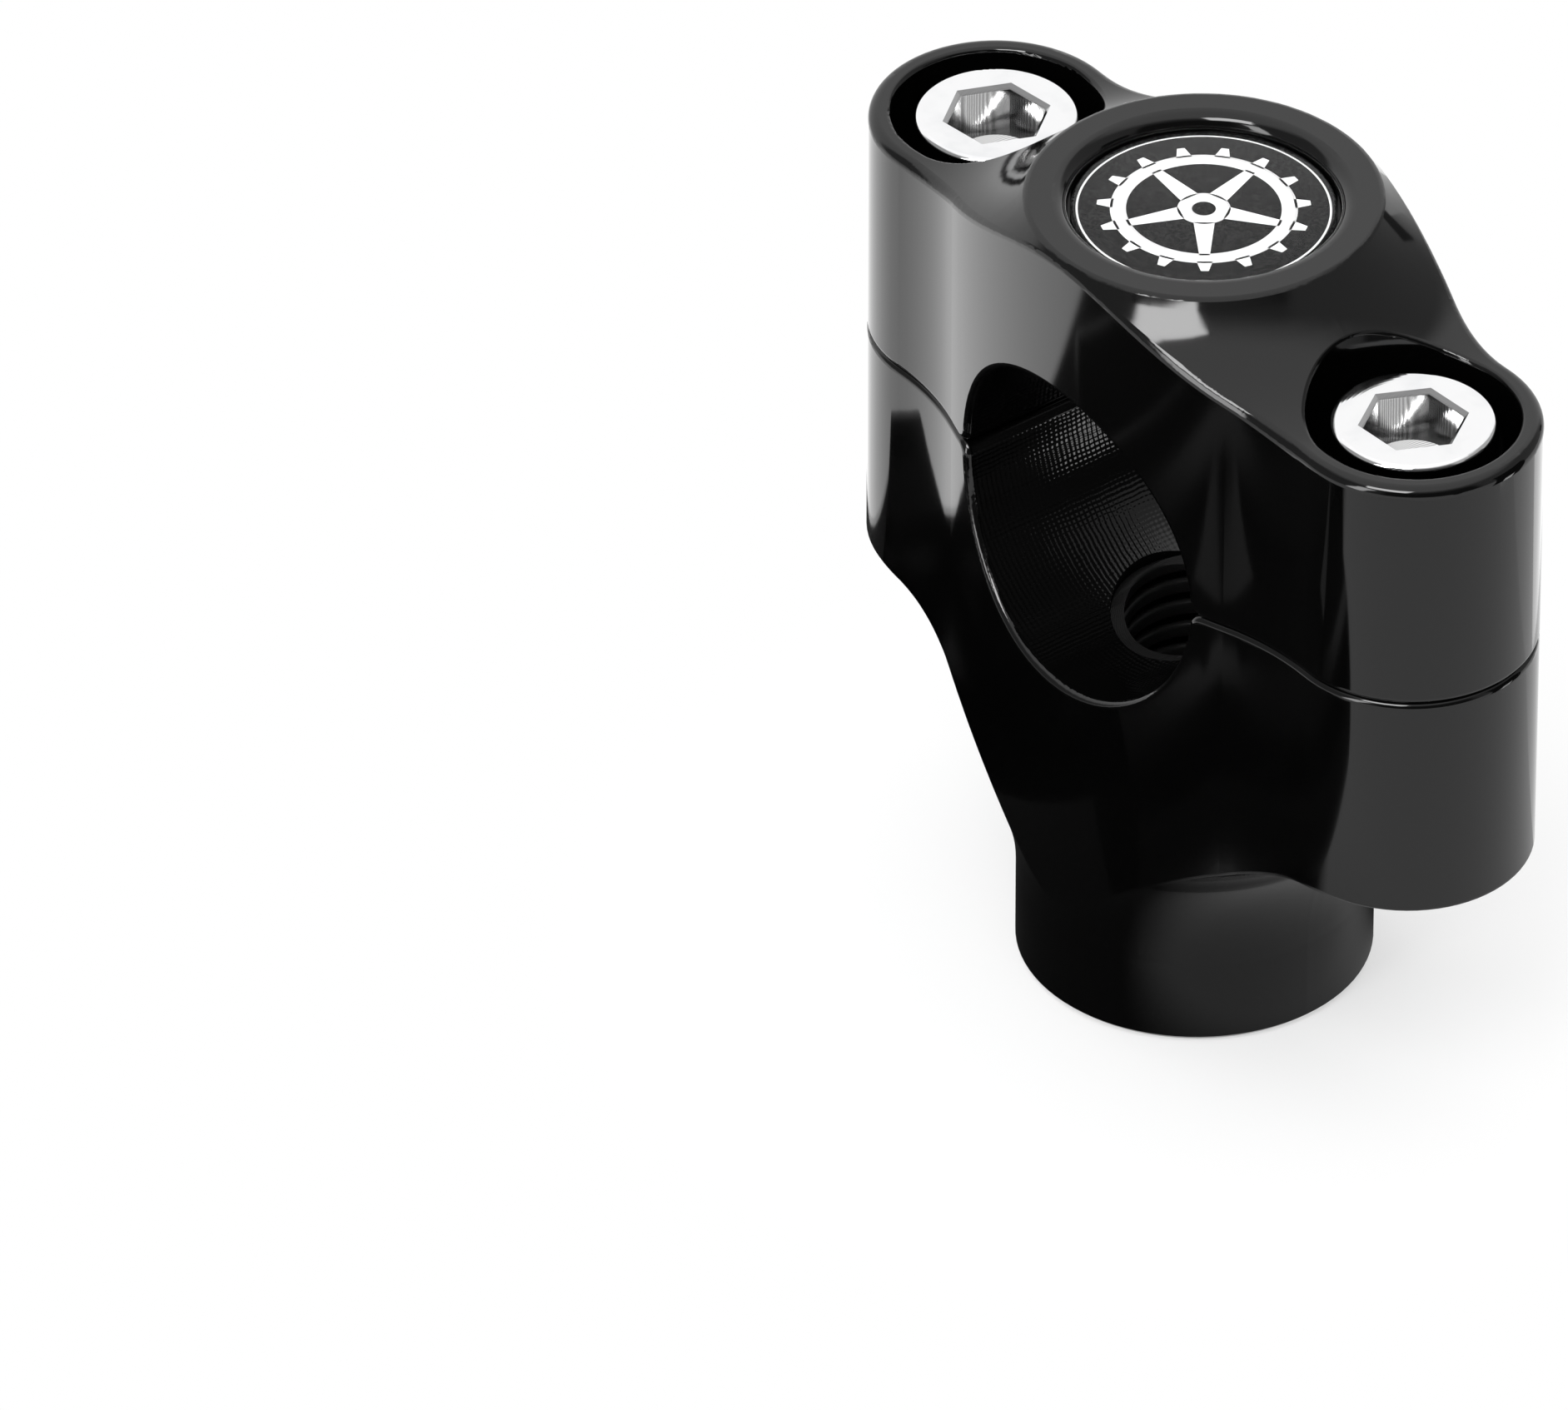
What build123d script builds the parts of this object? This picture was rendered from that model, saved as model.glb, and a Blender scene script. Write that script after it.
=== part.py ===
from build123d import *
import math
import os

# A two-piece bar riser: a body with a round foot, and a cap held down by two socket screws.
# All lengths are in millimetres. The origin is the centre of the mounting face, +Z points up,
# X runs from one screw to the other and Y runs along the handlebar.

# Handlebar and overall heights
bar_diameter = 25.4          # handlebar that the riser holds
parting_height = 41.2        # bar axis, and the split between body and cap
arm_bottom_drop = 5.6        # underside of the body's lobes, below the bottom of the bar's bore
arm_top_rise = 5.9           # top of the cap's lobes, above the top of the bar's bore
boss_rise = 5.7              # top of the raised ring round the badge, above the lobes

# Outline seen from above
screw_offset = 11.1          # from the side of the bar's bore to each screw's axis
lobe_wall = 1.65             # least metal outside each counterbore
waist_depth = 26.3           # front to back, over the middle
belly_radius = 46.0          # gentle bulge of the front and back faces
neck_radius = 20.0           # hollow between the bulge and each lobe

# Foot and the sweep from the foot to the lobes
foot_inset = 0.15            # foot's side inside the waist's face
foot_sweep_radius = 16.0
foot_edge = 0.5              # chamfer round the mounting face
stud_radius = 6.35           # 1/2-13 thread, at its full diameter
stud_entry = 0.9             # chamfer at the mouth of the threaded hole

# Boss and the sweep from the boss down to the cap's lobes
boss_inset = 0.4             # boss's side inside the waist's face
boss_sweep_radius = 14.0
boss_edge = 0.5              # round on the boss's outer edge

# Badge recess and what lies in it
ring_width = 3.05            # of the boss, outside the recess
badge_thickness = 0.8
badge_play = 0.2             # gap round the badge
recess_depth = 2.35          # from the boss's top to the recess's floor
recess_lip = 1.15            # round on the recess's rim
pad_thickness = 0.3          # adhesive pad under the badge
pad_inset = 0.4              # pad's edge inside the badge's edge
dome_inset = 0.06            # resin's edge inside the badge's edge
dome_edge = 0.3              # upright edge of the resin
dome_rise = 0.6              # resin's crown above its edge

# Screws: 5/16-18 socket head
shank_radius = 3.97
screw_length = 22.2          # under the head
head_radius = 5.95
head_height = 7.94
head_edge = 0.45             # round on the head's rim
socket_flats = 6.35          # across the flats
socket_flare = 0.6           # how much wider the chamfered mouth is
socket_lead = 0.35           # depth of that chamfer
socket_depth = 4.0
socket_step = 0.1            # flat left between the hexagon and the drilled point
tip_chamfer = 0.7
screw_turn = {"left": 6.8, "right": 3.3}    # degrees that each socket is turned about its axis

# Holes for the screws
head_play = 1.65             # gap round the head, in the counterbore
head_sink = 0.36             # head's top below the lobe's top
shank_play = 0.25            # gap round the shank, in the cap
thread_play = 0.04           # gap round the shank, in the body
thread_room = 2.4            # full thread below the screw's tip
drill_point = 118.0          # degrees, at the bottom of the tapped hole

# Rounds along the edges
rim_round = 0.8              # cap's upper rim
parting_round = 0.5          # outer edges along the split and round the bar's opening
corner_round = 1.2           # where the split runs into the bar's bore
skirt_round = 0.4            # body's lower rim
counterbore_round = 0.35

# Values worked out from the sizes above
bar_radius = bar_diameter / 2
bore_bottom = parting_height - bar_radius
arm_bottom = bore_bottom - arm_bottom_drop
arm_top = parting_height + bar_radius + arm_top_rise
boss_top = arm_top + boss_rise
lobe_x = bar_radius + screw_offset
half_waist = waist_depth / 2
foot_radius = half_waist - foot_inset
boss_radius = half_waist - boss_inset
recess_radius = boss_radius - ring_width
recess_floor = boss_top - recess_depth
badge_radius = recess_radius - badge_play
counterbore_radius = head_radius + head_play
counterbore_floor = arm_top - head_sink - head_height
lobe_radius = counterbore_radius + lobe_wall
tapped_floor = counterbore_floor - screw_length - thread_room
socket_mouth = socket_flats + socket_flare
reach = lobe_x + lobe_radius + foot_sweep_radius     # a radius beyond the whole outline
sides = {"left": -1, "right": 1}
past = 1.0                   # how far a cut runs past the face that it starts from
near = 0.01                  # two sizes closer than this are the same


def circle_meeting(centre_a, radius_a, centre_b, radius_b):
    """The point at radius_a from centre_a and radius_b from centre_b, on the left of the way from a to b."""
    across = centre_b - centre_a
    gap = across.length
    along = (gap ** 2 + radius_a ** 2 - radius_b ** 2) / (2 * gap)
    height = math.sqrt(radius_a ** 2 - along ** 2)
    unit = across.normalized()
    normal = Vector(-unit.Y, unit.X)
    return centre_a + unit * along + normal * height


def plan_outline():
    """The outline from above: two round lobes, joined by a bulged belly through hollow necks."""
    lobe = Vector(lobe_x, 0)
    belly = Vector(0, half_waist - belly_radius)
    neck = circle_meeting(belly, belly_radius + neck_radius, lobe, lobe_radius + neck_radius)
    belly_end = belly + (neck - belly).normalized() * belly_radius
    lobe_end = lobe + (neck - lobe).normalized() * lobe_radius
    neck_middle = neck + ((belly_end + lobe_end) / 2 - neck).normalized() * neck_radius

    def at(point, x_sign, y_sign):
        return (point.X * x_sign, point.Y * y_sign)

    edges = []
    for y_sign in (1, -1):
        edges.append(ThreePointArc(at(belly_end, -1, y_sign), (0, half_waist * y_sign),
                                   at(belly_end, 1, y_sign)))
        for x_sign in (-1, 1):
            edges.append(ThreePointArc(at(belly_end, x_sign, y_sign), at(neck_middle, x_sign, y_sign),
                                       at(lobe_end, x_sign, y_sign)))
    for x_sign in (-1, 1):
        edges.append(ThreePointArc(at(lobe_end, x_sign, 1), ((lobe_x + lobe_radius) * x_sign, 0),
                                   at(lobe_end, x_sign, -1)))
    return make_face(Wire(edges))


def outline_prism(low, high):
    """The plan outline, drawn out between two heights."""
    return Pos(0, 0, low) * extrude(plan_outline(), amount=high - low)


def turned(lines):
    """A solid turned about the Z axis from closed lines drawn in the XZ plane."""
    return revolve(make_face(Plane.XZ * Wire(lines)), Axis.Z, 360)


def foot_turning():
    """What the body keeps below the split: the foot, the sweep, and all above the lobes' underside."""
    sweep_centre = (foot_radius + foot_sweep_radius, arm_bottom - foot_sweep_radius)
    sweep_low = (foot_radius, sweep_centre[1])
    sweep_high = (sweep_centre[0], arm_bottom)
    slant = math.sqrt(0.5) * foot_sweep_radius
    sweep_middle = (sweep_centre[0] - slant, sweep_centre[1] + slant)
    lower = Polyline((0, parting_height), (0, 0), (foot_radius - foot_edge, 0),
                     (foot_radius, foot_edge), sweep_low)
    sweep = ThreePointArc(sweep_low, sweep_middle, sweep_high)
    upper = Polyline(sweep_high, (reach, arm_bottom), (reach, parting_height), (0, parting_height))
    return turned([*lower.edges(), sweep, *upper.edges()])


def boss_turning():
    """What the cap keeps above the split: the flat lobes, the sweep and the boss with its recess."""
    sweep_height = arm_top + boss_sweep_radius
    sweep_run = math.sqrt(boss_sweep_radius ** 2 - (sweep_height - boss_top) ** 2)
    sweep_x = boss_radius + sweep_run
    foot_angle = math.atan2(boss_top - sweep_height, -sweep_run)
    middle_angle = (foot_angle - math.pi / 2) / 2
    sweep_middle = (sweep_x + boss_sweep_radius * math.cos(middle_angle),
                    sweep_height + boss_sweep_radius * math.sin(middle_angle))
    lip_x = recess_radius + recess_lip
    sweep = ThreePointArc((boss_radius, boss_top), sweep_middle, (sweep_x, arm_top))
    outer = Polyline((sweep_x, arm_top), (reach, arm_top), (reach, parting_height),
                     (0, parting_height), (0, recess_floor), (recess_radius, recess_floor),
                     (recess_radius, boss_top - recess_lip))
    slant = recess_lip * math.sqrt(0.5)
    lip = ThreePointArc((recess_radius, boss_top - recess_lip),
                        (lip_x - slant, boss_top - recess_lip + slant), (lip_x, boss_top))
    crown = Line((lip_x, boss_top), (boss_radius, boss_top))
    blank = turned([sweep, *outer.edges(), lip, crown])
    boss_rim = blank.edges().filter_by(GeomType.CIRCLE).filter_by(
        lambda edge: abs(edge.radius - boss_radius) < near and abs(edge.center().Z - boss_top) < near)
    return fillet(boss_rim, boss_edge)


def bar_bore(up):
    """One half of the handlebar's bore, along Y, with a rounded corner where the split runs into it.

    The half is above the split if up is 1 and below it if up is -1.
    """
    corner_x = math.sqrt(bar_radius ** 2 + 2 * bar_radius * corner_round)
    share = bar_radius / (bar_radius + corner_round)
    touch = (share * corner_x, share * corner_round)
    lean = math.atan2(corner_round, corner_x) / 2
    turn = math.pi / 4 - lean
    middle = (corner_x - corner_round * math.sin(turn), corner_round - corner_round * math.cos(turn))
    lines = [
        ThreePointArc((-touch[0], touch[1] * up), (0, bar_radius * up), (touch[0], touch[1] * up)),
        ThreePointArc((touch[0], touch[1] * up), (middle[0], middle[1] * up), (corner_x, 0)),
        ThreePointArc((-touch[0], touch[1] * up), (-middle[0], middle[1] * up), (-corner_x, 0)),
        Polyline((-corner_x, 0), (-corner_x, -past * up), (corner_x, -past * up), (corner_x, 0)),
    ]
    opening = make_face(Plane.XZ * Wire([edge for line in lines for edge in line.edges()]))
    return Pos(0, 0, parting_height) * extrude(opening, amount=waist_depth, both=True)


def is_wall(face):
    """Whether a face belongs to the outer wall, which is upright and round but not about the centre."""
    if face.geom_type != GeomType.CYLINDER:
        return False
    axis = face.axis_of_rotation
    centred = math.hypot(axis.position.X, axis.position.Y) < near
    return not centred and abs(axis.direction.Z) > 1 - near


def wall_rims(piece, low, high):
    """The edges where the outer wall ends, with their middle between two heights."""
    owners = {}
    for face in piece.faces().filter_by(is_wall):
        for edge in face.edges():
            owners.setdefault(edge, 0)
            owners[edge] += 1
    return [edge for edge, count in owners.items() if count == 1 and low < edge.center().Z < high]


def on_screws(solid_for_side):
    """The same solid at both screws, each made for its own side."""
    return [Pos(sign * lobe_x, 0, 0) * solid_for_side(side) for side, sign in sides.items()]


def upright(radius, low, high):
    """An upright cylinder on the Z axis, between two heights."""
    return Pos(0, 0, (low + high) / 2) * Cylinder(radius, high - low)


def tapped_hole(side):
    """A blind screw hole in the body's lobe, with the drill's point at the bottom."""
    radius = shank_radius + thread_play
    point = radius / math.tan(math.radians(drill_point / 2))
    mouth = parting_height + past
    lines = Polyline((0, mouth), (0, tapped_floor - point), (radius, tapped_floor), (radius, mouth),
                     close=True)
    return turned(lines.edges())


def stud_hole():
    """The threaded hole from the mounting face up into the bar's bore, with a chamfered mouth."""
    mouth = stud_radius + stud_entry + past
    lines = Polyline((0, -past), (mouth, -past), (stud_radius, stud_entry), (stud_radius, parting_height),
                     (0, parting_height), close=True)
    return turned(lines.edges())


def body():
    """The riser's body: foot, sweep, lobes, half of the bar's bore and the three threaded holes."""
    piece = outline_prism(0, parting_height) & foot_turning()
    piece -= bar_bore(-1)
    between = (arm_bottom + bore_bottom) / 2
    piece = fillet(wall_rims(piece, between, parting_height + past), parting_round)
    piece = fillet(wall_rims(piece, foot_edge, between), skirt_round)
    for hole in on_screws(tapped_hole):
        piece -= hole
    return piece - stud_hole()


def cap():
    """The clamp cap: half of the bar's bore, two counterbored holes and the badge's recess."""
    piece = outline_prism(parting_height, boss_top) & boss_turning()
    piece -= bar_bore(1)
    between = (arm_top + parting_height + bar_radius) / 2
    piece = fillet(wall_rims(piece, parting_height - past, between), parting_round)
    piece = fillet(wall_rims(piece, between, boss_top + past), rim_round)
    counterbores = on_screws(lambda side: upright(counterbore_radius, counterbore_floor, boss_top + past))
    bored = piece - counterbores
    piece = fillet(counterbore_rims(piece, counterbores, bored), counterbore_round)
    for hole in on_screws(lambda side: upright(shank_radius + shank_play, parting_height - past, arm_top)):
        piece -= hole
    return piece


def counterbore_rims(blank, counterbores, bored):
    """The upper edges of the two counterbores, which climb the sweep towards the boss."""
    edges = new_edges(blank, *counterbores, combined=bored)
    return edges.filter_by(lambda edge: edge.center().Z > arm_top - near)


def hexagon(flats, height):
    """A hexagon of a given size across its flats, at a height."""
    return Pos(0, 0, height) * RegularPolygon(flats / 2, 6, major_radius=False)


def key_socket():
    """The hexagon socket that is cut into a screw's head, with a chamfered mouth and a drilled floor."""
    lead = head_height - socket_lead
    floor = head_height - socket_depth
    drill = socket_flats / 2 - socket_step
    point = drill / math.tan(math.radians(drill_point / 2))
    cut = extrude(hexagon(socket_flats, floor), amount=lead - floor)
    cut += loft([hexagon(socket_flats, lead).face(), hexagon(socket_mouth, head_height).face()])
    cut += Pos(0, 0, floor - point / 2) * Cone(0, drill, point)
    return cut


def cap_screw(side):
    """A socket head screw, with the underside of its head at height zero."""
    slant = head_edge * math.sqrt(0.5)
    rim_x = head_radius - head_edge
    rim_z = head_height - head_edge
    lower = Polyline((0, head_height), (0, -screw_length), (shank_radius - tip_chamfer, -screw_length),
                     (shank_radius, tip_chamfer - screw_length), (shank_radius, 0), (head_radius, 0),
                     (head_radius, rim_z))
    rim = ThreePointArc((head_radius, rim_z), (rim_x + slant, rim_z + slant), (rim_x, head_height))
    top = Line((rim_x, head_height), (0, head_height))
    return Rot(0, 0, screw_turn[side]) * (turned([*lower.edges(), rim, top]) - key_socket())


def badge_pad():
    """The adhesive pad on the recess's floor."""
    return upright(badge_radius - pad_inset, recess_floor, recess_floor + pad_thickness)


def badge_disc():
    """The printed disc on its pad."""
    low = recess_floor + pad_thickness
    return upright(badge_radius, low, low + badge_thickness)


def badge_dome():
    """The clear resin that is poured on the disc, upright at its edge and crowned."""
    low = recess_floor + pad_thickness + badge_thickness
    radius = badge_radius - dome_inset
    edge = low + dome_edge
    crown_radius = (radius ** 2 + dome_rise ** 2) / (2 * dome_rise)
    centre = edge + dome_rise - crown_radius
    middle = (radius / 2, centre + math.sqrt(crown_radius ** 2 - (radius / 2) ** 2))
    lines = Polyline((0, edge + dome_rise), (0, low), (radius, low), (radius, edge))
    crown = ThreePointArc((radius, edge), middle, (0, edge + dome_rise))
    return turned([*lines.edges(), crown])


def pieces():
    """Every piece in its place, by node name."""
    screws = dict(zip(sides, on_screws(cap_screw)))
    return {
        "riser_body": body(),
        "clamp_cap": cap(),
        "cap_screw_left": Pos(0, 0, counterbore_floor) * screws["left"],
        "cap_screw_right": Pos(0, 0, counterbore_floor) * screws["right"],
        "badge_pad": badge_pad(),
        "badge_disc": badge_disc(),
        "badge_dome": badge_dome(),
    }


os.makedirs("parts", exist_ok=True)
for name, solid in pieces().items():
    export_step(solid, "parts/" + name + ".step")
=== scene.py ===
"""A motorcycle bar riser on a pale table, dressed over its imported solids."""

import logging
import math
from dataclasses import dataclass, field
from enum import Enum
from typing import Callable

import bpy
from mathutils import Matrix, Vector

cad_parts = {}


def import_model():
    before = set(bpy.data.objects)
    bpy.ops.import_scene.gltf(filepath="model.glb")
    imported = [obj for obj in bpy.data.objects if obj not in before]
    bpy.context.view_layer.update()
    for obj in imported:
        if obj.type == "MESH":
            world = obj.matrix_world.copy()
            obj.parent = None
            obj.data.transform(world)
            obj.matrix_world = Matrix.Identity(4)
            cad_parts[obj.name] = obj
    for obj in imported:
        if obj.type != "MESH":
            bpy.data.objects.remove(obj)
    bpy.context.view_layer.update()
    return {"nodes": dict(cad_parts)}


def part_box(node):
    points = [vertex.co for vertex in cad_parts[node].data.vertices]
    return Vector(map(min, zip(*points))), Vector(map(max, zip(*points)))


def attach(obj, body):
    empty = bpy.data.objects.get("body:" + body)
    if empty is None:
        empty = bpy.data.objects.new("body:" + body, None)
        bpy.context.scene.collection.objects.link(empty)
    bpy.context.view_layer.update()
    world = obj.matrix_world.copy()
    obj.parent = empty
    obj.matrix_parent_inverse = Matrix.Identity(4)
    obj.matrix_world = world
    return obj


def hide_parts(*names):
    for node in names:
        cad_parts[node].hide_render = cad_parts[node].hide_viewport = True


log = logging.getLogger("riser")

MM = 0.001
FULL_TURN = 2 * math.pi
FINE_RELIEF = 0.02 * MM
CLOUD_EDGES = (0.3, 0.7)
FLOAT = "NodeSocketFloat"
BODY = "root"

Number = float | int
Colour = tuple[float, float, float, float]
Outline = list[tuple[float, float]]
Socket = bpy.types.NodeSocket
Node = bpy.types.Node
Piece = bpy.types.Object


def grey(value: float) -> Colour:
    """A neutral colour of the given linear brightness."""
    return (value, value, value, 1.0)


def heading(azimuth: float, elevation: float) -> Vector:
    """The unit vector that points to an azimuth and an elevation.

    Args:
        azimuth: degrees from +X towards +Y.
        elevation: degrees above the table.

    Returns:
        The direction in the row's frame.
    """
    turn, rise = math.radians(azimuth), math.radians(elevation)
    return Vector((math.cos(turn) * math.cos(rise), math.sin(turn) * math.cos(rise), math.sin(rise)))


class Board:
    """A node tree with short calls for adding and joining nodes."""

    def __init__(self, tree: bpy.types.NodeTree) -> None:
        """Start on an empty tree.

        Args:
            tree: the tree whose nodes are cleared and built anew.
        """
        self.tree = tree
        tree.nodes.clear()

    def add(self, kind: str, options: dict | None = None, **inputs: object) -> Node:
        """Add one node.

        Args:
            kind: the node's type name.
            options: settings of the node itself, such as its operation.
            **inputs: values or sockets for inputs, by name with _ for a space, or in0, in1 by place.

        Returns:
            The new node.
        """
        node = self.tree.nodes.new(kind)
        for name, value in (options or {}).items():
            setattr(node, name, value)
        for name, value in inputs.items():
            place = int(name[2:]) if name[:2] == "in" and name[2:].isdigit() else name.replace("_", " ")
            self.feed(node.inputs[place], value)
        return node

    def feed(self, socket: Socket, value: object) -> None:
        """Set one input.

        Args:
            socket: the input.
            value: a socket to link it to, or a constant.
        """
        if isinstance(value, Socket):
            self.tree.links.new(value, socket)
        else:
            socket.default_value = value

    def math(self, operation: str, *values: object) -> Socket:
        """A math node's result.

        Args:
            operation: the name of the operation.
            *values: numbers or sockets, in order.

        Returns:
            The result's socket.
        """
        inputs = {f"in{place}": value for place, value in enumerate(values)}
        return self.add("ShaderNodeMath", {"operation": operation}, **inputs).outputs[0]

    def product(self, first: object, second: object) -> Socket:
        """Two numbers multiplied."""
        return self.math("MULTIPLY", first, second)

    def length(self, first: Socket, second: Socket) -> Socket:
        """The length of a step that goes so far along two axes."""
        return self.math("SQRT", self.math("ADD", self.product(first, first), self.product(second, second)))

    def ramp(self, value: Socket, low: float, high: float, start: float = 0.0, end: float = 1.0) -> Socket:
        """A smooth step from one number to another.

        Args:
            value: what the step follows.
            low: the value at which it starts.
            high: the value at which it ends.
            start: the result at low.
            end: the result at high.

        Returns:
            The result's socket.
        """
        node = self.add("ShaderNodeMapRange", {"interpolation_type": "SMOOTHSTEP"},
                        in0=value, in1=low, in2=high, in3=start, in4=end)
        return node.outputs[0]

    def mix(self, share: Socket, first: object, second: object) -> Socket:
        """A number between two others, by a share from 0 to 1."""
        node = self.add("ShaderNodeMix", {"data_type": "FLOAT"}, in0=share, in2=first, in3=second)
        return node.outputs[0]

    def tint(self, share: Socket, first: object, second: object) -> Socket:
        """A colour between two others, by a share from 0 to 1."""
        node = self.add("ShaderNodeMix", {"data_type": "RGBA"}, in0=share, in6=first, in7=second)
        return node.outputs[2]

    def place(self) -> Socket:
        """The shaded point in the object's own coordinates."""
        return self.add("ShaderNodeTexCoord").outputs["Object"]

    def spot(self) -> tuple[Socket, Socket, Socket]:
        """The X, Y and Z of the shaded point in the object's own coordinates."""
        x, y, z = self.add("ShaderNodeSeparateXYZ", in0=self.place()).outputs
        return x, y, z

    def noise(self, scale: object, detail: float, **inputs: object) -> Socket:
        """Noise in the object's own coordinates, as a number from 0 to 1."""
        node = self.add("ShaderNodeTexNoise", Vector=self.place(), Scale=scale, Detail=detail, **inputs)
        return node.outputs["Fac"]

    def group(self, tree: bpy.types.NodeTree, **inputs: object) -> Node:
        """Add a shader node group.

        Args:
            tree: the group.
            **inputs: its own values or sockets, by name with _ for a space.

        Returns:
            The new node.
        """
        node = self.tree.nodes.new("ShaderNodeGroup")
        node.node_tree = tree
        for name, value in inputs.items():
            self.feed(node.inputs[name.replace("_", " ")], value)
        return node

    def bump(self, height: Socket, strength: float, depth: float = FINE_RELIEF, **inputs: Socket) -> Socket:
        """A normal that leans with a height."""
        node = self.add("ShaderNodeBump", Strength=strength, Distance=depth, Height=height, **inputs)
        return node.outputs[0]

    def surface(self, shader: Node) -> None:
        """Send a shader to the material's surface."""
        self.add("ShaderNodeOutputMaterial", Surface=shader.outputs[0])

    def principled(self, **inputs: object) -> None:
        """Send a Principled BSDF with these inputs to the material's surface."""
        self.surface(self.add("ShaderNodeBsdfPrincipled", **inputs))


def shader_group(name: str, inputs: dict[str, float],
                 build: Callable[[Board, Node], dict[str, Socket]]) -> bpy.types.NodeTree:
    """Make a shader node group of numbers once, and give it back when it is asked for again.

    Args:
        name: the group's name.
        inputs: the default of each input, by its name.
        build: called with the board and the group's input node, and returns each output by its name.

    Returns:
        The group's tree.
    """
    known = bpy.data.node_groups.get(name)
    if known:
        return known
    tree = bpy.data.node_groups.new(name, "ShaderNodeTree")
    for label, default in inputs.items():
        tree.interface.new_socket(label, in_out="INPUT", socket_type=FLOAT).default_value = default
    board = Board(tree)
    made = build(board, board.add("NodeGroupInput"))
    for label in made:
        tree.interface.new_socket(label, in_out="OUTPUT", socket_type=FLOAT)
    board.add("NodeGroupOutput", **made)
    return tree


def surface_life() -> bpy.types.NodeTree:
    """The faint unevenness of every handled surface: cloudy sheen, orange peel and fine dust.

    Returns:
        A group with a scale for each, which puts each out as a number from 0 to 1.
    """
    speck_edge, speck_core = 0.012, 0.006
    clean_cloud, dusty_cloud = 0.52, 0.62

    def build(board: Board, given: Node) -> dict[str, Socket]:
        """Lay out the group's nodes.

        Args:
            board: the group's board.
            given: its input node.

        Returns:
            Each output by its name.
        """
        cloud = board.noise(given.outputs["Cloud Scale"], 3.0)
        peel = board.noise(given.outputs["Peel Scale"], 1.0)
        specks = board.add("ShaderNodeTexVoronoi", Vector=board.place(), Scale=given.outputs["Dust Scale"])
        dust = board.ramp(specks.outputs["Distance"], speck_edge, speck_core)
        sparse = board.ramp(cloud, clean_cloud, dusty_cloud)
        return {"Cloud": cloud, "Peel": peel, "Dust": board.product(dust, sparse)}

    inputs = {"Cloud Scale": 60.0, "Peel Scale": 900.0, "Dust Scale": 700.0}
    return shader_group("surface_life", inputs, build)


def turned_marks() -> bpy.types.NodeTree:
    """The fine rings that a cutting tool leaves along one measure of the surface.

    Returns:
        A group that puts out the rings as a height from 0 to 1.
    """

    def build(board: Board, given: Node) -> dict[str, Socket]:
        """Lay out the group's nodes.

        Args:
            board: the group's board.
            given: its input node.

        Returns:
            The output by its name.
        """
        drift = board.product(board.noise(given.outputs["Wander Scale"], 2.0), given.outputs["Wander"])
        along = board.math("ADD", given.outputs["Along"], drift)
        turns = board.math("DIVIDE", along, given.outputs["Pitch"])
        wave = board.math("SINE", board.product(turns, FULL_TURN))
        return {"Height": board.math("MULTIPLY_ADD", wave, 0.5, 0.5)}

    inputs = {"Along": 0.0, "Pitch": 0.25 * MM, "Wander": 0.1 * MM, "Wander Scale": 300.0}
    return shader_group("turned_marks", inputs, build)


def marks(board: Board, along: Socket, pitch: float, wander: float, scale: float = 300.0) -> Socket:
    """Turning marks as a height from 0 to 1.

    Args:
        board: the material's board.
        along: the measure across the marks, in metres.
        pitch: how far apart they are.
        wander: how far they stray.
        scale: the scale of the noise that they stray with.

    Returns:
        The height's socket.
    """
    node = board.group(turned_marks(), Along=along, Pitch=pitch, Wander=wander, Wander_Scale=scale)
    return node.outputs["Height"]


def cloudy(board: Board, life: Node, low: float, high: float) -> Socket:
    """A number that drifts from low to high with the cloudy sheen of a surface."""
    return board.ramp(life.outputs["Cloud"], *CLOUD_EDGES, low, high)


def new_material(name: str) -> tuple[bpy.types.Material, Board]:
    """An empty node material.

    Args:
        name: the material's name.

    Returns:
        The material and the board of its tree.
    """
    material = bpy.data.materials.new(name)
    material.use_nodes = True
    return material, Board(material.node_tree)


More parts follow.
